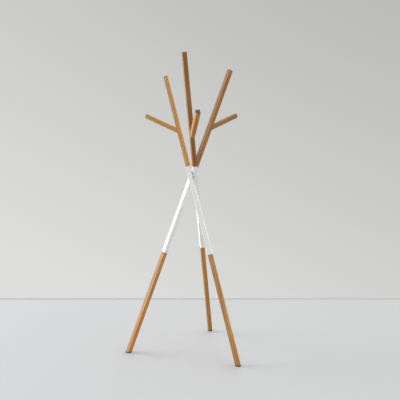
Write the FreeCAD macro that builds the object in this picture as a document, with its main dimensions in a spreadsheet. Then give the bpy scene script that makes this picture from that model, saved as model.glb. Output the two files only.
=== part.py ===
import FreeCAD, Part

import math
import os
import re

import Sketcher
from FreeCAD import Placement, Rotation, Vector

# A standing coat rack: three straight square bars lean against each other in a twisted
# tripod, each carries one slanting branch near its top, and the crossing is white lacquer.
# +Z is up, the floor is Z = 0, and the origin is under the middle of the overall box.
# A bar's own frame has Z along the bar, X and Y square to its faces, and its origin at the
# waist, where the bar passes closest to the rack's centre line.

SIZES = (
    ("section", 27.0),            # side of every square bar
    ("edge_round", 1.5),          # radius along the long edges
    ("end_bevel", 1.0),           # bevel around a free end
    ("joint_bevel", 0.4),         # bevel around an end that meets the next length
    ("waist_height", 1080.0),     # height of the waist above the floor
    ("waist_radius", 19.0),       # from the rack's centre line to a bar's axis at the waist
    ("lean", 20.0),               # angle between a bar and the vertical
    ("first_azimuth", 223.7),     # direction from the centre line to the first bar
    ("lower_joint_1", -510.0),    # joint of leg and middle length, along each bar from its waist
    ("lower_joint_2", -493.0),
    ("lower_joint_3", -510.0),
    ("upper_joint", 63.0),        # joint of middle and upper length, the same on each bar
    ("bar_top_1", 718.0),         # free upper end of each bar
    ("bar_top_2", 740.0),
    ("bar_top_3", 740.0),
    ("branch_angle", 46.5),       # angle between a branch and its bar
    ("branch_place_1", 310.0),    # where each branch's axis meets its bar's axis
    ("branch_place_2", 247.0),
    ("branch_place_3", 330.0),
    ("branch_reach_1", 264.0),    # from the bar's axis to each branch's tip
    ("branch_reach_2", 247.0),
    ("branch_reach_3", 264.0),
    ("glide_thickness", 5.0),     # pad under each foot
    ("fit_gap", 0.05),            # play of every pin in its hole
    ("bolt_play", 0.3),           # play around the bolt, and around the seat of the spacer
    ("spare", 50.0),              # how far a cutting tool runs past what it cuts
    ("dowel_radius", 5.0),        # wooden dowel through each branch's joint face
    ("dowel_low", -4.0),          # its two ends, along the branch from the bar's axis
    ("dowel_high", 46.0),
    ("stud_radius", 4.0),         # M8 stud at each bar joint
    ("stud_grip", 30.0),          # its length on either side of the joint
    ("insert_radius", 6.0),       # brass thread insert that takes the stud
    ("insert_length", 25.0),
    ("bolt_radius", 3.0),         # M6 bolt at each crossing
    ("bolt_length", 35.0),
    ("head_radius", 5.0),
    ("head_height", 6.0),
    ("key_radius", 2.5),          # round stand-in for the key socket in the head
    ("key_depth", 3.0),
    ("nut_radius", 5.0),          # brass thread insert that takes the bolt
    ("nut_length", 10.0),
    ("nut_room", 0.5),            # room under it for the bolt's end
    ("plug_radius", 6.0),         # wooden plug over the bolt's head, flush with the face
    ("plug_thickness", 4.0),
    ("spacer_radius", 8.0),       # disc between two crossing bars
    ("seat_depth", 2.5),          # how far its seat is let into the first bar's slanted face
)

# How far up from the waist each bolt sits, on the line halfway between its two bars. The
# heights are staggered, so that the two bolts in one bar pass clear of each other.
BOLT_PLACES = (4.0, -5.0, 13.0)
BAR_COUNT = 3
MOST_SLACK = 1e-6                 # two coordinates closer than this are the same
X_AXIS = Vector(1, 0, 0)
Z_AXIS = Vector(0, 0, 1)

doc = FreeCAD.newDocument("CoatRack")
sheet = doc.addObject("Spreadsheet::Sheet", "Sizes")
aliases = []
pieces = []


def add_size(alias, value):
    aliases.append(alias)
    row = len(aliases)
    sheet.set("A%d" % row, alias)
    sheet.set("B%d" % row, str(value))
    sheet.setAlias("B%d" % row, alias)


for alias, value in SIZES:
    add_size(alias, value)
doc.recompute()


def size(alias):
    return float(sheet.get(alias))


def in_sheet(word):
    return "Sizes." + word if word in aliases else word


def bind(thing, **expressions):
    """Sets expressions whose plain words are aliases of the sheet, with __ for a dot."""
    for name, text in expressions.items():
        words = re.sub(r"[a-z]\w*", lambda word: in_sheet(word.group()), text)
        thing.setExpression(name.replace("__", "."), words)


# Frames.

def turn(axis, degrees):
    return Placement(Vector(0, 0, 0), Rotation(axis, degrees))


def shift(x, y, z):
    return Placement(Vector(x, y, z), Rotation())


def leaning_frame(number, section_turn):
    to_azimuth = turn(Z_AXIS, size("first_azimuth") + 360.0 / BAR_COUNT * number)
    to_waist = shift(size("waist_radius"), 0, size("waist_height"))
    return to_azimuth * to_waist * turn(X_AXIS, size("lean")) * turn(Z_AXIS, section_turn)


def square_line(here, there):
    """The unit vector square to the Z axes of two frames, from the first to the second."""
    square = here.Rotation.multVec(Z_AXIS).cross(there.Rotation.multVec(Z_AXIS))
    square.normalize()
    return square if square.dot(there.Base - here.Base) > 0 else square * -1


def face_turn():
    """The turn of the section that sets each bar's inner X face square to the line from
    the bar before it, so that a bolt between the two enters that face at right angles."""
    before = leaning_frame(BAR_COUNT - 1, 0)
    local = leaning_frame(0, 0).Rotation.inverted().multVec(square_line(before, leaning_frame(0, 0)))
    return math.degrees(math.atan2(local.y, local.x))


FACE_TURN = face_turn()


def bar_frame(number):
    return leaning_frame(number % BAR_COUNT, FACE_TURN)


def crossing_frame(number):
    """Z runs from a bar's axis to the next bar's axis, square to both, along their bolt."""
    here = bar_frame(number)
    there = bar_frame(number + 1)
    here_along = here.Rotation.multVec(Z_AXIS)
    there_along = there.Rotation.multVec(Z_AXIS)
    apart = there.Base - here.Base
    likeness = here_along.dot(there_along)
    spread = 1 - likeness ** 2
    here_foot = (apart.dot(here_along) - likeness * apart.dot(there_along)) / spread
    there_foot = (likeness * apart.dot(here_along) - apart.dot(there_along)) / spread
    middle = (here.Base + here_along * here_foot + there.Base + there_along * there_foot) * 0.5
    halfway = here_along + there_along
    halfway.normalize()
    square = square_line(here, there)
    centre = middle + halfway * BOLT_PLACES[number % BAR_COUNT]
    return Placement(centre, Rotation(halfway, square.cross(halfway), square, "ZXY"))


def axis_gap():
    """Distance between the axes of two crossing bars."""
    here = bar_frame(0)
    there = bar_frame(1)
    return (there.Base - here.Base).dot(square_line(here, there))


add_size("spacer_thickness", axis_gap() - size("section") + size("seat_depth"))
doc.recompute()


def crossing_levels():
    """Heights in a crossing's frame: the first bar's seat for the spacer, the underside of
    the bolt's head inside the next bar, and that bar's outer face."""
    half_gap = axis_gap() / 2
    half_side = size("section") / 2
    seat = half_side - half_gap - size("seat_depth")
    face = half_gap + half_side
    return seat, face - size("plug_thickness") - size("head_height"), face


def branch_frame(number):
    """Z runs along the branch from the bar's axis, and X is the bar's own X."""
    place = shift(0, 0, size("branch_place_%d" % (number + 1)))
    return bar_frame(number) * place * turn(X_AXIS, size("branch_angle"))


# Sketches and features.

def new_piece(type_name, label):
    item = doc.addObject(type_name, label)
    item.Label = label
    return item


def keep(item, frame):
    item.Placement = frame
    pieces.append(item)


def new_sketch(body, name, plane_role, level="0"):
    """A sketch on one of the body's own planes, moved to a level along its normal."""
    sketch = body.newObject("Sketcher::SketchObject", name)
    plane = next(item for item in body.Origin.OriginFeatures if item.Role == plane_role)
    sketch.AttachmentSupport = [(plane, "")]
    sketch.MapMode = "FlatFace"
    bind(sketch, AttachmentOffset__Base__z=level)
    return sketch


def outline(sketch, corners):
    """A closed outline of straight lines. Each corner is a pair of expressions for its
    distances from the sketch's origin, and a pair of numbers of the right sign to start."""
    points = [Vector(start_x, start_y, 0) for x, y, start_x, start_y in corners]
    for index, point in enumerate(points):
        sketch.addGeometry(Part.LineSegment(point, points[(index + 1) % len(points)]), False)
    for index, (x, y, start_x, start_y) in enumerate(corners):
        follower = (index + 1) % len(points)
        sketch.addConstraint(Sketcher.Constraint("Coincident", index, 2, follower, 1))
        across = sketch.addConstraint(Sketcher.Constraint("DistanceX", -1, 1, index, 1, start_x))
        upward = sketch.addConstraint(Sketcher.Constraint("DistanceY", -1, 1, index, 1, start_y))
        bind(sketch, **{"Constraints[%d]" % across: x, "Constraints[%d]" % upward: y})


def circle(sketch, radius):
    index = sketch.addGeometry(Part.Circle(Vector(0, 0, 0), Z_AXIS, 10), False)
    sketch.addConstraint(Sketcher.Constraint("Coincident", index, 3, -1, 1))
    rule = sketch.addConstraint(Sketcher.Constraint("Radius", index, 10))
    bind(sketch, **{"Constraints[%d]" % rule: radius})


def pad(body, sketch, length, both_ways=False):
    feature = body.newObject("PartDesign::Pad", "Pad")
    feature.Profile = sketch
    if both_ways:
        feature.SideType = "Symmetric"
    bind(feature, Length=length)
    doc.recompute()


def round_long_edges(body):
    """Rounds the four edges that run along the body's Z axis."""
    base = body.Tip
    names = []
    for index, edge in enumerate(base.Shape.Edges, start=1):
        start, end = [vertex.Point for vertex in edge.Vertexes]
        if abs(end.z - start.z) > size("section") and abs(end.y - start.y) < MOST_SLACK:
            names.append("Edge%d" % index)
    rounding = body.newObject("PartDesign::Fillet", "LongEdges")
    rounding.Base = (base, names)
    bind(rounding, Radius="edge_round")
    doc.recompute()


def bevel_end(body, level, width):
    """Bevels everything around the flat end at the given level of the body's Z axis."""
    base = body.Tip
    names = [
        "Edge%d" % index
        for index, edge in enumerate(base.Shape.Edges, start=1)
        if all(abs(vertex.Point.z - size(level)) < MOST_SLACK for vertex in edge.Vertexes)
    ]
    bevel = body.newObject("PartDesign::Chamfer", "End")
    bevel.Base = (base, names)
    bind(bevel, Size=width)
    doc.recompute()


def drill(body, name, level, radius, depth, upward):
    """A round hole on the body's Z axis, from a level up or down into the body."""
    before = body.Shape.Volume
    sketch = new_sketch(body, name + "Circle", "XY_Plane", level)
    circle(sketch, radius)
    hole = body.newObject("PartDesign::Pocket", name)
    hole.Profile = sketch
    hole.Reversed = upward
    bind(hole, Length=depth)
    doc.recompute()
    if body.Shape.Volume > before - 1.0:
        raise RuntimeError("%s cuts nothing from %s" % (name, body.Label))


def stock(label, low, high):
    """A length of square bar with rounded long edges, between two levels of its axis."""
    body = new_piece("PartDesign::Body", label)
    sketch = new_sketch(body, "Section", "XY_Plane", low)
    half = "section / 2"
    minus = "0 - section / 2"
    outline(sketch, (
        (minus, minus, -10, -10),
        (half, minus, 10, -10),
        (half, half, 10, 10),
        (minus, half, -10, 10),
    ))
    pad(body, sketch, "(%s) - (%s)" % (high, low))
    round_long_edges(body)
    return body


def cylinder(label, radius, height):
    item = new_piece("Part::Cylinder", label)
    bind(item, Radius=radius, Height=height)
    return item


def ring(label, outer, inner, length):
    """A plain turned ring: the outside and bore of a threaded insert, or a spacer."""
    body = new_piece("PartDesign::Body", label)
    sketch = new_sketch(body, "Ring", "XY_Plane")
    circle(sketch, outer)
    circle(sketch, inner)
    pad(body, sketch, length)
    return body


def cut(label, base, tool):
    item = new_piece("Part::Cut", label)
    item.Base = base
    item.Tool = tool
    return item


def floor_block(label, top, thickness):
    """A block under a foot, square to the floor, in the frame of a bar."""
    block = new_piece("Part::Box", label)
    bind(block, Length="spare * 2", Width="spare * 2", Height=thickness)
    foot = bar_frame(0) * Vector(0, 0, -size("waist_height") / math.cos(math.radians(size("lean"))))
    corner = shift(foot.x - size("spare"), foot.y - size("spare"), top)
    block.Placement = bar_frame(0).inverse() * corner
    return block


# Pieces of one bar, from the floor up.

FOOT = "0 - waist_height / cos(lean)"


def make_glide(number):
    """A dark pad with the outline of the slanted foot, between the leg and the floor."""
    blank = stock("glide_blank_%d" % number, FOOT + " - spare", FOOT + " + spare")
    slab = floor_block("glide_slab_%d" % number, 0, "glide_thickness")
    glide = new_piece("Part::Common", "foot_glide_%d" % number)
    glide.Base = blank
    glide.Tool = slab
    keep(glide, bar_frame(number - 1))


def make_leg(number):
    """The lower oak length, cut level at its foot, with a stud hole in its upper end."""
    joint = "lower_joint_%d" % number
    blank = stock("leg_blank_%d" % number, FOOT + " - spare", joint)
    bevel_end(blank, joint, "joint_bevel")
    drill(blank, "StudHole", joint, "stud_radius + fit_gap", "stud_grip + fit_gap", False)
    bottom = size("glide_thickness") - 2 * size("spare")
    below = floor_block("leg_floor_%d" % number, bottom, "spare * 2")
    keep(cut("lower_leg_%d" % number, blank, below), bar_frame(number - 1))


def bolt_tools(number):
    """Everything that the two crossings of a middle length take out of it, as one tool."""
    to_bar = bar_frame(number - 1).inverse()
    from_before = to_bar * crossing_frame(number - 2)
    to_next = to_bar * crossing_frame(number - 1)
    seat, under_head, face = crossing_levels()
    shank = cylinder("shank_hole_%d" % number, "bolt_radius + bolt_play", "spare")
    shank.Placement = from_before * shift(0, 0, under_head - size("spare"))
    head = cylinder("head_hole_%d" % number, "plug_radius + fit_gap", "spare")
    head.Placement = from_before * shift(0, 0, under_head)
    facing = cylinder("seat_face_%d" % number, "spacer_radius + bolt_play", "spare")
    facing.Placement = to_next * shift(0, 0, seat)
    nut = cylinder("nut_hole_%d" % number, "nut_radius + fit_gap", "nut_length + spare")
    nut.Placement = to_next * shift(0, 0, seat - size("nut_length") - size("nut_room"))
    tools = new_piece("Part::MultiFuse", "bolt_tools_%d" % number)
    tools.Shapes = [shank, head, facing, nut]
    return tools


def make_middle(number):
    """The white middle length, which the other two bars are bolted to."""
    joint = "lower_joint_%d" % number
    blank = stock("middle_blank_%d" % number, joint, "upper_joint")
    bevel_end(blank, joint, "joint_bevel")
    bevel_end(blank, "upper_joint", "joint_bevel")
    drill(blank, "StudHole", "upper_joint", "stud_radius + fit_gap", "stud_grip + fit_gap", False)
    drill(blank, "StudEnd", joint, "stud_radius + fit_gap", "stud_grip + fit_gap", True)
    drill(blank, "InsertHole", joint, "insert_radius + fit_gap", "insert_length", True)
    keep(cut("middle_bar_%d" % number, blank, bolt_tools(number)), bar_frame(number - 1))


def make_upper(number):
    """The upper oak length, with an insert in its lower end and a branch on its Y face."""
    top = "bar_top_%d" % number
    blank = stock("upper_blank_%d" % number, "upper_joint", top)
    bevel_end(blank, "upper_joint", "joint_bevel")
    bevel_end(blank, top, "end_bevel")
    drill(blank, "StudEnd", "upper_joint", "stud_radius + fit_gap", "stud_grip + fit_gap", True)
    drill(blank, "InsertHole", "upper_joint", "insert_radius + fit_gap", "insert_length", True)
    tool = cylinder("dowel_hole_%d" % number, "dowel_radius + fit_gap", "spare")
    to_branch = bar_frame(number - 1).inverse() * branch_frame(number - 1)
    tool.Placement = to_branch * shift(0, 0, size("dowel_low"))
    keep(cut("upper_bar_%d" % number, blank, tool), bar_frame(number - 1))


def make_branch(number):
    """A branch of the same section, mitred to lie flat on its bar and cut square at its tip."""
    reach = "branch_reach_%d" % number
    body = new_piece("PartDesign::Body", "branch_%d" % number)
    sketch = new_sketch(body, "Side", "YZ_Plane")
    half = "section / 2"
    minus = "0 - section / 2"
    heel = "section / 2 * (1 - cos(branch_angle)) / sin(branch_angle)"
    crotch = "section / 2 * (1 + cos(branch_angle)) / sin(branch_angle)"
    outline(sketch, (
        (minus, heel, -10, 5),
        (half, crotch, 10, 30),
        (half, reach, 10, 260),
        (minus, reach, -10, 260),
    ))
    pad(body, sketch, "section", both_ways=True)
    round_long_edges(body)
    bevel_end(body, reach, "end_bevel")
    drill(body, "DowelHole", "0", "dowel_radius + fit_gap", "dowel_high + fit_gap", True)
    keep(body, branch_frame(number - 1))


def make_dowel(number):
    dowel = cylinder("branch_dowel_%d" % number, "dowel_radius", "dowel_high - dowel_low - fit_gap")
    keep(dowel, branch_frame(number - 1) * shift(0, 0, size("dowel_low") + size("fit_gap")))


# Hardware that holds the bars together.

def make_bar_joint(name, number, joint):
    """A stud fixed in the lower length and an insert fixed in the upper one."""
    stud = cylinder("%s_stud_%d" % (name, number), "stud_radius", "stud_grip * 2")
    keep(stud, bar_frame(number - 1) * shift(0, 0, size(joint) - size("stud_grip")))
    insert = ring(
        "%s_insert_%d" % (name, number), "insert_radius", "stud_radius + fit_gap", "insert_length - fit_gap"
    )
    keep(insert, bar_frame(number - 1) * shift(0, 0, size(joint)))


def make_crossing(number):
    """Bolt, insert, spacer and plug between a bar and the next one."""
    frame = crossing_frame(number - 1)
    seat, under_head, face = crossing_levels()

    bolt = new_piece("PartDesign::Body", "crossing_bolt_%d" % number)
    head = new_sketch(bolt, "Head", "XY_Plane")
    circle(head, "head_radius")
    pad(bolt, head, "head_height - fit_gap")
    shank = new_sketch(bolt, "Shank", "XY_Plane", "0 - bolt_length")
    circle(shank, "bolt_radius")
    pad(bolt, shank, "bolt_length")
    drill(bolt, "Key", "head_height - fit_gap", "key_radius", "key_depth", False)
    keep(bolt, frame * shift(0, 0, under_head))

    nut = ring("crossing_insert_%d" % number, "nut_radius", "bolt_radius + fit_gap", "nut_length")
    keep(nut, frame * shift(0, 0, seat - size("nut_length")))

    spacer = new_piece("PartDesign::Body", "crossing_spacer_%d" % number)
    disc = new_sketch(spacer, "Disc", "XY_Plane")
    circle(disc, "spacer_radius")
    circle(disc, "bolt_radius + bolt_play")
    pad(spacer, disc, "spacer_thickness")
    keep(spacer, frame * shift(0, 0, seat))

    plug = cylinder("crossing_plug_%d" % number, "plug_radius", "plug_thickness")
    keep(plug, frame * shift(0, 0, face - size("plug_thickness")))


for number in range(1, BAR_COUNT + 1):
    make_glide(number)
    make_leg(number)
    make_middle(number)
    make_upper(number)
    make_branch(number)
    make_dowel(number)
    make_bar_joint("lower", number, "lower_joint_%d" % number)
    make_bar_joint("upper", number, "upper_joint")
    make_crossing(number)
doc.recompute()

# The origin goes under the middle of the overall box.
overall = FreeCAD.BoundBox()
for piece in pieces:
    overall.add(piece.Shape.optimalBoundingBox(False))
to_origin = shift(-overall.Center.x, -overall.Center.y, 0)
for piece in pieces:
    piece.Placement = to_origin * piece.Placement
doc.recompute()

# Every object must be sound before anything is written.
for item in doc.Objects:
    if "Invalid" in item.State or "Error" in item.State:
        raise RuntimeError("%s failed: %s" % (item.Label, item.State))
for piece in pieces:
    if piece.Shape.isNull() or not piece.Shape.isValid() or len(piece.Shape.Solids) != 1:
        raise RuntimeError("%s is not one sound solid" % piece.Label)

os.makedirs("parts", exist_ok=True)
for piece in pieces:
    piece.Shape.exportStep("parts/%s.step" % piece.Label)
print("centre line at", to_origin.Base, "size", overall.XLength, overall.YLength, overall.ZLength)
print("pieces", len(pieces), "axis gap", axis_gap(), "face turn", FACE_TURN)
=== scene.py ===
import math

import bpy
import numpy as np
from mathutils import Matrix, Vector


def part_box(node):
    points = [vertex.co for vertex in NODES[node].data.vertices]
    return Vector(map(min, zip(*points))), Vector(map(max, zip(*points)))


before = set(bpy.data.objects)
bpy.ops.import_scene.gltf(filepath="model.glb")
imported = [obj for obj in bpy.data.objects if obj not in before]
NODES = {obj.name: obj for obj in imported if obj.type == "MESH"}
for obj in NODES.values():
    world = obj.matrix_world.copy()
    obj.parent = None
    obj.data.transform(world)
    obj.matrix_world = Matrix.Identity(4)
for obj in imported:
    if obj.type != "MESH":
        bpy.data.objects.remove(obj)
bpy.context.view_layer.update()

# A standing coat rack of oak bars with white lacquered middles, on a pale studio floor.
# The CAD nodes are shown as they are, and each gets a procedural material that follows
# the piece's own axes. Lengths are in metres in the scene and in millimetres inside a
# material. Colours are linear RGB.

BARS = (1, 2, 3)
MM = 1000.0                       # millimetres in a metre

# ---------------------------------------------------------------- the axes of each piece

NORMAL_DIGITS = 3                 # two normals that agree to this many digits are one
SQUARE_ENOUGH = 0.02              # largest cosine between two faces that count as square


def flat_normals(node):
    """Unit normals of a node's flat faces, the ones that cover most area first."""
    mesh = NODES[node].data
    normals = np.array([face.normal[:] for face in mesh.polygons])
    areas = np.array([face.area for face in mesh.polygons])
    rounded = np.round(normals, NORMAL_DIGITS)
    kinds, kind_of_face = np.unique(rounded, axis=0, return_inverse=True)
    totals = np.bincount(kind_of_face.ravel(), weights=areas)
    return [Vector(kinds[index]).normalized() for index in np.argsort(-totals)]


def square_axes(node):
    """Axes of a square bar, from its long flat faces: across, across, along."""
    normals = flat_normals(node)
    first = normals[0]
    second = next(normal for normal in normals if abs(normal.dot(first)) < SQUARE_ENOUGH)
    return first, second, first.cross(second).normalized()


def round_axes(node):
    """Axes of a turned pin or ring, whose flat ends are square to its length."""
    along = flat_normals(node)[0]
    first = along.orthogonal().normalized()
    return first, along.cross(first), along


def extent(node, axes):
    """A piece's middle in metres and its half sizes in millimetres, along its own axes."""
    corners = [vertex.co for vertex in NODES[node].data.vertices]
    centre = Vector()
    halves = []
    for axis in axes:
        reach = [corner.dot(axis) for corner in corners]
        centre += axis * (min(reach) + max(reach)) / 2
        halves.append((max(reach) - min(reach)) / 2 * MM)
    return centre, halves


# ---------------------------------------------------------------- shader building blocks

# Cosine between a face's normal and the grain, where the face starts to count as cut
# across, and where it fully does.
END_FACE_FROM = 0.45
END_FACE_TO = 0.62


class Shader:
    """A material being built, with short ways to add the nodes that it uses."""

    def __init__(self, name):
        self.material = bpy.data.materials.new(name)
        self.material.use_nodes = True
        self.tree = self.material.node_tree
        self.tree.nodes.clear()
        output = self.tree.nodes.new("ShaderNodeOutputMaterial")
        self.surface = self.tree.nodes.new("ShaderNodeBsdfPrincipled")
        self.tree.links.new(self.surface.outputs[0], output.inputs["Surface"])

    def feed(self, socket, value):
        """Links a socket to another one, or sets it to a plain value."""
        if isinstance(value, bpy.types.NodeSocket):
            self.tree.links.new(value, socket)
        else:
            socket.default_value = value

    def give(self, name, value):
        """Gives one input of the surface its value."""
        self.feed(self.surface.inputs[name], value)

    def node(self, kind, inputs=(), **settings):
        made = self.tree.nodes.new("ShaderNode" + kind)
        for key, value in settings.items():
            setattr(made, key, value)
        for key, value in dict(inputs).items():
            self.feed(made.inputs[key], value)
        return made

    # Numbers.

    def math(self, operation, a, b=0.0, c=0.0, clamp=False):
        made = self.node("Math", {0: a, 1: b, 2: c}, operation=operation)
        made.use_clamp = clamp
        return made.outputs[0]

    def times(self, a, b):
        return self.math("MULTIPLY", a, b)

    def add_share(self, base, value, share, clamp=False):
        """base plus a share of value."""
        return self.math("MULTIPLY_ADD", value, share, base, clamp)

    def range(self, value, low, high, to_low=0.0, to_high=1.0, smooth=True):
        """Value from low to high, carried over to the new limits and held there."""
        kind = "SMOOTHSTEP" if smooth else "LINEAR"
        inputs = {"Value": value, "From Min": low, "From Max": high}
        inputs.update({"To Min": to_low, "To Max": to_high})
        return self.node("MapRange", inputs, interpolation_type=kind).outputs["Result"]

    # Places.

    def dot(self, vector, axis):
        made = self.node("VectorMath", {0: vector, 1: tuple(axis)}, operation="DOT_PRODUCT")
        return made.outputs["Value"]

    def moved(self, vector, offset):
        made = self.node("VectorMath", {0: vector, 1: tuple(offset)}, operation="ADD")
        return made.outputs[0]

    def stretch(self, vector, scale):
        """Places scaled by one number across the piece and by another along it."""
        across, along = scale
        factors = (across, across, along)
        return self.node("VectorMath", {0: vector, 1: factors}, operation="MULTIPLY").outputs[0]

    def place(self):
        return self.node("TexCoord").outputs["Object"]

    def local(self, origin, axes):
        """Place in millimetres in the piece's own axes, as a vector and as its parts."""
        inputs = {0: self.place(), 1: tuple(origin)}
        away = self.node("VectorMath", inputs, operation="SUBTRACT").outputs[0]
        parts = [self.dot(away, axis * MM) for axis in axes]
        joined = self.node("CombineXYZ", dict(enumerate(parts))).outputs[0]
        return joined, parts

    def end_face(self, along):
        """1 where the surface is cut across the piece, 0 along its sides."""
        normal = self.node("NewGeometry").outputs["Normal"]
        facing = self.math("ABSOLUTE", self.dot(normal, along))
        return self.range(facing, END_FACE_FROM, END_FACE_TO)

    def corner_band(self, x, y, start, end):
        """1 along the long edges of a square section, fading in between two distances
        from its middle."""
        nearer = self.math("MINIMUM", self.math("ABSOLUTE", x), self.math("ABSOLUTE", y))
        return self.range(nearer, start, end)

    # Patterns and colours.

    def noise(self, vector, scale, detail=2.0, rough=0.5, bend=0.0):
        inputs = {"Vector": vector, "Scale": scale, "Detail": detail}
        inputs.update({"Roughness": rough, "Distortion": bend})
        return self.node("TexNoise", inputs).outputs["Fac"]

    def grain(self, vector, scale, detail=2.0, rough=0.5, bend=0.0):
        """Noise drawn out along the piece: scale is its repeats per millimetre across the
        piece and along it."""
        return self.noise(self.stretch(vector, scale), 1.0, detail, rough, bend)

    def ramp(self, value, *stops):
        made = self.node("ValToRGB", {"Fac": value})
        elements = made.color_ramp.elements
        while len(elements) < len(stops):
            elements.new(0.5)
        for element, (position, colour) in zip(elements, stops):
            element.position = position
            element.color = (*colour, 1.0)
        return made.outputs["Color"]

    def mix(self, factor, a, b, blend="MIX"):
        made = self.node("Mix", {0: factor}, data_type="RGBA", blend_type=blend)
        for slot, colour in ((6, a), (7, b)):
            plain = not isinstance(colour, bpy.types.NodeSocket)
            self.feed(made.inputs[slot], (*colour, 1.0) if plain else colour)
        return made.outputs[2]

    def bump(self, height, distance, strength):
        inputs = {"Height": height, "Distance": distance, "Strength": strength}
        return self.node("Bump", inputs).outputs["Normal"]


# ---------------------------------------------------------------- oak

OAK_DARK = (0.250, 0.122, 0.036)
OAK_BODY = (0.385, 0.205, 0.064)
OAK_PALE = (0.505, 0.300, 0.110)
OAK_RED = (0.60, 0.44, 0.36)
OAK_PORE = (0.105, 0.050, 0.019)
OAK_SOAKED = (0.205, 0.140, 0.080)
END_DARK = (0.105, 0.055, 0.026)
END_BODY = (0.235, 0.128, 0.058)

# How fine each pattern is, in repeats per millimetre across the piece and along it.
WANDER = (0.010, 0.0022)          # the pith's slow wander
RIPPLE = (0.16, 0.012)            # ripples in the rings
FIBRE = (3.2, 0.035)
STREAK = (0.75, 0.006)
PORES = (2.6, 0.11)
RAYS = (0.55, 0.06)
DRIFT = (0.012, 0.0035)           # slow change of hue
BAND = (0.085, 0.005)             # lighter and darker bands, some rings wide
RUBBING = (0.3, 0.03)             # gaps in the rubbed edges
END_PORES = (1.5, 0.02)           # the cells' own scale, END_CELLS, multiplies these
END_CELLS = 1.6

RING_WIDTH = 2.6                  # millimetres
PITH_NEAREST = 45.0               # the pith lies outside the piece, this far from its middle
PITH_FURTHEST = 95.0
PITH_TURN = 2.4                   # radians that the pith's direction turns from seed to seed
WANDER_DEPTH = 34.0               # millimetres that the full wander adds to a radius
RIPPLE_DEPTH = 1.6                # and the full ripple
SPOKE_TURN = 55.0                 # how far the end grain's ray pattern runs for each radian
SPOKE_SCALE = 3.0
SLIDE = 400.0                     # how far a piece's pattern may lie from its neighbour's
SOAK_DEPTH = 14.0                 # how far from an end the oil darkens the sides
SOAK_FULL = 2.0                   # and how near to it they are darkest
OAK_RELIEF = 0.00012              # metres


def early_wood(shader, own, off_x, off_y):
    """1 in the open early wood of each ring, 0 in the dense wood after it."""
    squares = shader.math("ADD", shader.times(off_x, off_x), shader.times(off_y, off_y))
    radius = shader.math("SQRT", squares)
    radius = shader.add_share(radius, shader.grain(own, WANDER, 3.0, 0.5), WANDER_DEPTH)
    radius = shader.add_share(radius, shader.grain(own, RIPPLE, 3.0, 0.6), RIPPLE_DEPTH)
    ring = shader.math("FRACT", shader.math("DIVIDE", radius, RING_WIDTH))
    return shader.times(shader.range(ring, 0.0, 0.42, 1.0, 0.0), shader.range(ring, 0.0, 0.06))


def side_grain(shader, own, early, fibre, pores):
    """Colour along the grain: streaks, slow drift and bands, pale rays and dark pores."""
    streak = shader.grain(own, STREAK, 3.0, 0.55)
    tone = shader.add_share(shader.times(fibre, 0.35), streak, 0.75)
    tone = shader.add_share(tone, early, -0.16)
    colour = shader.ramp(tone, (0.28, OAK_DARK), (0.52, OAK_BODY), (0.80, OAK_PALE))
    drift = shader.range(shader.grain(own, DRIFT), 0.35, 0.68)
    colour = shader.mix(drift, colour, OAK_RED, "SOFT_LIGHT")
    band = shader.range(shader.grain(own, BAND), 0.34, 0.66, 0.85, 1.13)
    colour = shader.mix(1.0, colour, band, "MULTIPLY")
    rays = shader.range(shader.grain(own, RAYS, bend=0.6), 0.62, 0.70, 0.0, 0.55)
    colour = shader.mix(shader.times(rays, 0.3), colour, OAK_PALE)
    return shader.mix(shader.times(pores, 0.62), colour, OAK_PORE)


def end_grain(shader, own, early, off_x, off_y):
    """Colour across the grain, with its fine rays from the pith, and its open pores."""
    angle = shader.math("ARCTAN2", off_y, off_x)
    spoke = shader.node("CombineXYZ", {0: shader.times(angle, SPOKE_TURN)}).outputs[0]
    spokes = shader.noise(spoke, SPOKE_SCALE, 2.0, 0.6)
    cells = {"Vector": shader.stretch(own, END_PORES), "Scale": END_CELLS}
    dots = shader.range(shader.node("TexVoronoi", cells).outputs["Distance"], 0.14, 0.32, 1.0, 0.0)
    holes = shader.times(dots, shader.range(early, 0.1, 0.7, 0.15, 1.0))
    tone = shader.add_share(spokes, early, -0.4)
    colour = shader.ramp(tone, (0.15, END_DARK), (0.62, END_BODY))
    return shader.mix(shader.times(holes, 0.75), colour, OAK_PORE), holes


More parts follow.
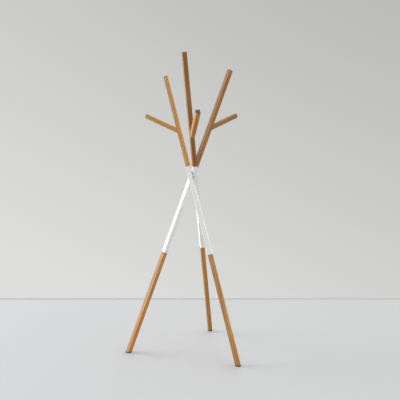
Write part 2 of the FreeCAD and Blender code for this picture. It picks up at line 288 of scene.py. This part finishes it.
def oak(name, node, seed, tone):
    """Oiled oak: growth rings about a distant pith, pores in their early wood, pale rays,
    darker end grain and rubbed long edges. tone is the piece's lightness, which holds
    painted light and shade as well as its board's own tone, and its greyness."""
    axes = square_axes(node)
    centre, halves = extent(node, axes)
    shader = Shader(name)
    place, (x, y, z) = shader.local(centre, axes)
    rng = np.random.default_rng(seed)
    pith_angle = seed * PITH_TURN
    pith_way = Vector((math.cos(pith_angle), math.sin(pith_angle), 0))
    pith = rng.uniform(PITH_NEAREST, PITH_FURTHEST) * pith_way
    own = shader.moved(place, rng.uniform(-SLIDE, SLIDE, 3))

    off_x = shader.math("SUBTRACT", x, pith.x)
    off_y = shader.math("SUBTRACT", y, pith.y)
    early = early_wood(shader, own, off_x, off_y)
    fibre = shader.grain(own, FIBRE, 4.0, 0.62)
    pores = shader.range(shader.grain(own, PORES), 0.585, 0.66)
    pores = shader.times(pores, shader.range(early, 0.05, 0.6, 0.22, 1.0))

    side = side_grain(shader, own, early, fibre, pores)
    across, holes = end_grain(shader, own, early, off_x, off_y)
    cut_across = shader.end_face(axes[2])
    colour = shader.mix(cut_across, side, across)
    # The piece's lightness, partly painted light and shade, and its greyness.
    light, grey = tone
    own_colour = (light, light * (1 + 0.4 * grey), light * (1 + grey))
    colour = shader.mix(1.0, colour, own_colour, "MULTIPLY")

    # The oil soaks in deeper, and darkens the sides a little, next to both ends.
    half_side, half_length = halves[0], halves[2]
    to_end = shader.math("ABSOLUTE", z)
    soaked = shader.range(to_end, half_length - SOAK_DEPTH, half_length - SOAK_FULL, 0.0, 0.50)
    colour = shader.mix(soaked, colour, OAK_SOAKED)

    # The long edges are rubbed paler here and there.
    rubbed = shader.range(shader.grain(own, RUBBING, 4.0, 0.6), 0.42, 0.62, 0.15, 0.8)
    edge = shader.times(shader.corner_band(x, y, half_side - 1.9, half_side - 0.5), rubbed)
    colour = shader.mix(shader.times(edge, 0.45), colour, OAK_PALE)
    shader.give("Base Color", colour)

    # Satin oil, duller in the pores and on end grain, polished along the edges by hands.
    rough = shader.math("MULTIPLY_ADD", fibre, 0.16, 0.40)
    rough = shader.add_share(rough, pores, 0.20)
    rough = shader.add_share(rough, cut_across, 0.16)
    shader.give("Roughness", shader.add_share(rough, edge, -0.10, clamp=True))
    shader.give("Specular IOR Level", 0.25)
    relief = shader.add_share(shader.times(fibre, 0.35), pores, -1.0)
    relief = shader.add_share(relief, shader.times(holes, cut_across), -1.0)
    shader.give("Normal", shader.bump(relief, OAK_RELIEF, 0.7))
    return shader.material


# ---------------------------------------------------------------- painted and turned pieces

PAINT = (0.82, 0.82, 0.82)
PAINT_WARM = (0.785, 0.775, 0.75)
PAINT_GREY = (0.70, 0.70, 0.70)
PAINT_SLIDE = 300.0               # as SLIDE, for the painted pieces
PAINT_GRAIN = (1.9, 0.05)         # repeats per millimetre across and along, as for the oak
PAINT_PORES = (2.2, 0.13)
PAINT_CLOUD = (0.02, 0.008)
PAINT_MARKS = (0.05, 0.012)
PAINT_WEAR = (0.4, 0.05)
PAINT_PEEL = 0.9                  # repeats per millimetre in every direction
PAINT_RELIEF = 0.00006            # metres


def lacquer(name, node, axes, seed, tone):
    """White satin lacquer on open-grained oak: the grain still shows as fine relief, with
    a trace of orange peel, faint handling marks and thinner paint along the edges."""
    centre, halves = extent(node, axes)
    shader = Shader(name)
    place, (x, y, _) = shader.local(centre, axes)
    rng = np.random.default_rng(seed)
    own = shader.moved(place, rng.uniform(-PAINT_SLIDE, PAINT_SLIDE, 3))
    grain = shader.grain(own, PAINT_GRAIN, 4.0, 0.6)
    pores = shader.range(shader.grain(own, PAINT_PORES), 0.60, 0.68)
    peel = shader.noise(own, PAINT_PEEL)
    cloud = shader.grain(own, PAINT_CLOUD, 3.0, 0.55)
    marks = shader.range(shader.grain(own, PAINT_MARKS, 5.0, 0.7), 0.60, 0.74)

    colour = shader.mix(shader.range(cloud, 0.35, 0.7), PAINT, PAINT_WARM)
    colour = shader.mix(shader.times(marks, 0.22), colour, PAINT_GREY)
    colour = shader.mix(shader.times(pores, 0.12), colour, PAINT_GREY)
    worn = shader.range(shader.grain(own, PAINT_WEAR, 4.0, 0.6), 0.55, 0.72)
    edge = shader.times(shader.corner_band(x, y, halves[0] - 1.4, halves[0] - 0.3), worn)
    colour = shader.mix(shader.times(edge, 0.30), colour, PAINT_WARM)
    # tone darkens the whole piece a little, as painted shade.
    shader.give("Base Color", shader.mix(1.0, colour, (tone, tone, tone), "MULTIPLY"))

    rough = shader.math("MULTIPLY_ADD", grain, 0.08, 0.30)
    rough = shader.add_share(rough, marks, 0.12)
    shader.give("Roughness", shader.add_share(rough, cloud, 0.06, clamp=True))
    shader.give("Specular IOR Level", 0.5)
    relief = shader.add_share(shader.times(pores, -0.6), grain, 0.5)
    relief = shader.add_share(relief, peel, 0.35)
    shader.give("Normal", shader.bump(relief, PAINT_RELIEF, 0.6))
    return shader.material


ZINC_LIGHT = (0.62, 0.64, 0.66)
ZINC_DARK = (0.42, 0.43, 0.45)
BRASS_LIGHT = (0.72, 0.50, 0.20)
BRASS_DARK = (0.48, 0.30, 0.10)
SCRATCHES = (1.5, 9.0)            # repeats per millimetre across the pin and along it
METAL_RELIEF = 0.00025            # metres


def turned_metal(name, node, light, dark, rough, pitch):
    """Machined metal: tool lines round the axis, fine scratches and dull patches. pitch is
    the distance between two tool lines in millimetres."""
    axes = round_axes(node)
    shader = Shader(name)
    place, (_, _, z) = shader.local(extent(node, axes)[0], axes)
    lines = shader.math("SINE", shader.times(z, 2 * math.pi / pitch))
    scratches = shader.grain(place, SCRATCHES, 3.0, 0.6)
    dull = shader.noise(place, 0.22, 4.0, 0.6)
    factor = shader.add_share(shader.times(dull, 0.5), scratches, 0.5)
    shader.give("Base Color", shader.ramp(factor, (0.35, dark), (0.62, light)))
    shader.give("Metallic", 1.0)
    shader.give("Roughness", shader.math("MULTIPLY_ADD", dull, 0.25, rough))
    relief = shader.add_share(shader.times(scratches, 0.4), lines, 0.5)
    shader.give("Normal", shader.bump(relief, METAL_RELIEF, 0.6))
    return shader.material


NYLON_LIGHT = (0.80, 0.80, 0.78)
NYLON_DARK = (0.70, 0.70, 0.68)
RUBBER_LIGHT = (0.050, 0.044, 0.038)
RUBBER_DARK = (0.022, 0.019, 0.017)


def moulded(name, light, dark, rough, grain_size, depth):
    """Moulded rubber or nylon: a fine grain, slight mottling and a few scuffs. grain_size
    and depth are in metres."""
    shader = Shader(name)
    place = shader.place()
    scale = 1.0 / grain_size
    grain = shader.noise(place, scale, 3.0, 0.6)
    mottle = shader.noise(place, scale * 0.06, 3.0, 0.5)
    scuffs = shader.range(shader.noise(place, scale * 0.15, 5.0, 0.75), 0.58, 0.70)
    factor = shader.add_share(shader.times(mottle, 0.65), grain, 0.35)
    colour = shader.ramp(factor, (0.36, dark), (0.64, light))
    shader.give("Base Color", shader.mix(shader.times(scuffs, 0.25), colour, light))
    shader.give("Roughness", shader.math("MULTIPLY_ADD", grain, 0.2, rough))
    shader.give("Normal", shader.bump(grain, depth, 0.6))
    return shader.material


BEECH_DARK = (0.42, 0.25, 0.13)
BEECH_PALE = (0.58, 0.38, 0.22)
BEECH_FLECK = (0.26, 0.13, 0.06)
BEECH_FIBRE = (2.5, 0.06)
BEECH_FLECKS = (2.0, 0.45)
BEECH_RELIEF = 0.0001             # metres


def beech(name, node, seed):
    """A raw beech dowel: straight pale fibre with short dark flecks."""
    axes = round_axes(node)
    shader = Shader(name)
    place, _ = shader.local(extent(node, axes)[0], axes)
    own = shader.moved(place, (seed * 37.0, seed * 11.0, 0.0))
    fibre = shader.grain(own, BEECH_FIBRE, 4.0, 0.6)
    flecks = shader.range(shader.grain(own, BEECH_FLECKS), 0.60, 0.68)
    colour = shader.ramp(fibre, (0.3, BEECH_DARK), (0.7, BEECH_PALE))
    shader.give("Base Color", shader.mix(shader.times(flecks, 0.5), colour, BEECH_FLECK))
    shader.give("Roughness", shader.math("MULTIPLY_ADD", fibre, 0.2, 0.55))
    shader.give("Normal", shader.bump(fibre, BEECH_RELIEF, 0.6))
    return shader.material


# ---------------------------------------------------------------- which piece gets which

# How light, and how grey against golden, each oak piece is. The lightness is partly painted
# light and shade: upper bar 1 and branch 1, on the left, are lightened, and upper bars 2 and 3,
# behind and to the right, darkened, as the light falls; the rest is each board's own tone, and
# no two pieces come from one board.
OAK_TONES_AND_PAINTED_LIGHT = {
    "lower_leg_1": (1.18, 0.15),
    "lower_leg_2": (1.02, 0.04),
    "lower_leg_3": (1.16, -0.04),
    "upper_bar_1": (1.33, 0.18),
    "upper_bar_2": (0.68, -0.17),
    "upper_bar_3": (0.77, -0.12),
    "branch_1": (1.27, 0.17),
    "branch_2": (1.02, 0.00),
    "branch_3": (0.82, 0.05),
}
# Each bar's white lightness, darkened below 1 as painted shade; a plug takes its bar's.
LACQUER_PAINTED_SHADE = {1: 0.97, 2: 1.0, 3: 0.93}
PLUG_SEED = 7                     # keeps the plugs' seeds clear of the bars'
ZINC_ROUGH = 0.26
ZINC_PITCH = 1.25
BRASS_ROUGH = 0.24
BRASS_PITCH = 2.0
NYLON_ROUGH = 0.42
NYLON_GRAIN = 0.0006
NYLON_DEPTH = 0.00003
RUBBER_ROUGH = 0.62
RUBBER_GRAIN = 0.0008
RUBBER_DEPTH = 0.00012


def dress(node, material):
    """Gives one material to all of a node's slots."""
    slots = NODES[node].material_slots
    if not slots:
        NODES[node].data.materials.append(material)
    for slot in slots:
        slot.material = material


def dress_oak():
    for seed, (node, tone) in enumerate(OAK_TONES_AND_PAINTED_LIGHT.items(), start=1):
        dress(node, oak("oak_" + node, node, seed, tone))


def dress_painted(number):
    """A bar's white length, and the plug that covers the bolt head in the next bar."""
    bar = "middle_bar_%d" % number
    tone = LACQUER_PAINTED_SHADE[number]
    dress(bar, lacquer("lacquer_" + bar, bar, square_axes(bar), number, tone))
    plug = "crossing_plug_%d" % number
    next_number = number % len(BARS) + 1
    axes = square_axes("middle_bar_%d" % next_number)
    tone = LACQUER_PAINTED_SHADE[next_number]
    dress(plug, lacquer("lacquer_" + plug, plug, axes, number + PLUG_SEED, tone))


def dress_hardware(number):
    """A bar's dowel, studs, bolt, inserts, spacer and foot pad."""
    dowel = "branch_dowel_%d" % number
    dress(dowel, beech("beech_" + dowel, dowel, number))
    for kind in ("lower_stud", "upper_stud", "crossing_bolt"):
        node = "%s_%d" % (kind, number)
        zinc = turned_metal("zinc_" + node, node, ZINC_LIGHT, ZINC_DARK, ZINC_ROUGH, ZINC_PITCH)
        dress(node, zinc)
    for kind in ("lower_insert", "upper_insert", "crossing_insert"):
        node = "%s_%d" % (kind, number)
        brass = turned_metal("brass_" + node, node, BRASS_LIGHT, BRASS_DARK, BRASS_ROUGH, BRASS_PITCH)
        dress(node, brass)
    spacer = "crossing_spacer_%d" % number
    nylon = moulded("nylon_" + spacer, NYLON_LIGHT, NYLON_DARK, NYLON_ROUGH, NYLON_GRAIN, NYLON_DEPTH)
    dress(spacer, nylon)
    glide = "foot_glide_%d" % number
    rubber = moulded("rubber_" + glide, RUBBER_LIGHT, RUBBER_DARK, RUBBER_ROUGH, RUBBER_GRAIN, RUBBER_DEPTH)
    dress(glide, rubber)


# ---------------------------------------------------------------- floor, light and camera

# The floor's colour on the left, and on the right darkened as painted shade.
FLOOR_LEFT_LIT = (0.605, 0.612, 0.628)
FLOOR_RIGHT_SHADED = (0.535, 0.545, 0.547)
# Darker grey for a faint mottle, and for the painted shadow line along the back edge.
FLOOR_MOTTLE_AND_SHADOW_LINE = (0.440, 0.445, 0.440)
FLOOR_BACK = 1.40                 # the floor's back edge, where a painted shadow line runs
FLOOR_FRONT = -6.0
FLOOR_SIDE = 6.0
SHADOW_LINE_START = FLOOR_BACK - 0.091  # the painted shadow line darkens from here to full at the next limit
SHADOW_LINE_FULL = FLOOR_BACK - 0.049
FLOOR_SHADE_START = -1.6                   # painted shade across the floor: it has its lighter colour left of here
FLOOR_SHADE_FULL = 1.9                   # and its darker colour right of here


def make_floor():
    """A pale painted floor, darkened a little to the right and along its back edge by painted shade."""
    mesh = bpy.data.meshes.new("floor")
    corners = [
        (-FLOOR_SIDE, FLOOR_FRONT, 0.0),
        (FLOOR_SIDE, FLOOR_FRONT, 0.0),
        (FLOOR_SIDE, FLOOR_BACK, 0.0),
        (-FLOOR_SIDE, FLOOR_BACK, 0.0),
    ]
    mesh.from_pydata(corners, [], [(0, 1, 2, 3)])
    floor = bpy.data.objects.new("floor", mesh)
    bpy.context.collection.objects.link(floor)
    shader = Shader("floor_paint")
    place = shader.place()
    # Painted shade: the floor darkens towards the right.
    across = shader.range(shader.dot(place, (1, 0, 0)), FLOOR_SHADE_START, FLOOR_SHADE_FULL, smooth=False)
    paint = shader.mix(across, FLOOR_LEFT_LIT, FLOOR_RIGHT_SHADED)
    cloud = shader.noise(place, 0.9, 3.0, 0.5)
    paint = shader.mix(shader.times(cloud, 0.04), paint, FLOOR_MOTTLE_AND_SHADOW_LINE)
    # A painted shadow line along the floor's back edge.
    shadow_line = shader.range(shader.dot(place, (0, 1, 0)), SHADOW_LINE_START, SHADOW_LINE_FULL)
    shader.give("Base Color", shader.mix(shadow_line, paint, FLOOR_MOTTLE_AND_SHADOW_LINE))
    shader.give("Roughness", 0.75)
    mesh.materials.append(shader.material)


WORLD_COLOUR = (1.0, 1.0, 0.985, 1.0)
WORLD_LEVEL = 0.655               # brightness straight ahead
WORLD_SLOPE = (-0.13, 0.0, -0.25) # how it changes to the right, away and upwards
WORLD_MOST = 0.73                 # it is nowhere brighter than this


def make_world():
    """A plain pale studio, a little brighter low down and to the left."""
    world = bpy.data.worlds.new("studio")
    world.use_nodes = True
    nodes = world.node_tree.nodes
    links = world.node_tree.links
    place = nodes.new("ShaderNodeTexCoord")
    slope = nodes.new("ShaderNodeVectorMath")
    slope.operation = "DOT_PRODUCT"
    slope.inputs[1].default_value = WORLD_SLOPE
    links.new(place.outputs["Generated"], slope.inputs[0])
    level = nodes.new("ShaderNodeMath")
    level.inputs[1].default_value = WORLD_LEVEL
    links.new(slope.outputs["Value"], level.inputs[0])
    capped = nodes.new("ShaderNodeMath")
    capped.operation = "MINIMUM"
    capped.inputs[1].default_value = WORLD_MOST
    links.new(level.outputs[0], capped.inputs[0])
    backdrop = nodes["Background"]
    backdrop.inputs["Color"].default_value = WORLD_COLOUR
    links.new(capped.outputs[0], backdrop.inputs["Strength"])
    bpy.context.scene.world = world


# Towards each light, what it adds to a white face square to it, and its width in degrees.
LIGHTS = {
    "window_left": ((-0.93, 0.28, 0.18), 1.25, 50),
    "high_right": ((0.62, 0.45, 0.64), 0.55, 110),
    "front": ((0.10, -0.98, 0.10), 0.16, 60),
}


def soft_light(name, towards, level, width):
    """Even soft light from one side."""
    data = bpy.data.lights.new(name, "SUN")
    data.energy = level * math.pi
    data.angle = math.radians(width)
    lamp = bpy.data.objects.new(name, data)
    lamp.rotation_mode = "QUATERNION"
    lamp.rotation_quaternion = Vector(towards).to_track_quat("Z", "Y")
    bpy.context.collection.objects.link(lamp)


SENSOR_WIDTH = 36.0
FOCAL_LENGTH = 38.27
CAMERA_AWAY = 2.6791              # in front of the middle of the three feet
CAMERA_HEIGHT = 0.8932
CAMERA_TURN = (90.761, -0.205, -0.998)  # degrees: tilt, where 90 is level, roll, and turn


def make_camera():
    """A view through a normal lens at waist height, looking very slightly up."""
    feet = [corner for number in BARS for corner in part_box("foot_glide_%d" % number)]
    centre = sum((Vector(corner) for corner in feet), Vector()) / len(feet)
    data = bpy.data.cameras.new("camera")
    data.sensor_width = SENSOR_WIDTH
    data.lens = FOCAL_LENGTH
    camera = bpy.data.objects.new("camera", data)
    camera.location = (centre.x, centre.y - CAMERA_AWAY, CAMERA_HEIGHT)
    camera.rotation_euler = [math.radians(angle) for angle in CAMERA_TURN]
    bpy.context.collection.objects.link(camera)
    bpy.context.scene.camera = camera


# ---------------------------------------------------------------- the scene

dress_oak()
for bar_number in BARS:
    dress_painted(bar_number)
    dress_hardware(bar_number)
make_floor()
make_world()
for light_name, light in LIGHTS.items():
    soft_light(light_name, *light)
bpy.context.scene.view_settings.view_transform = "Standard"
make_camera()
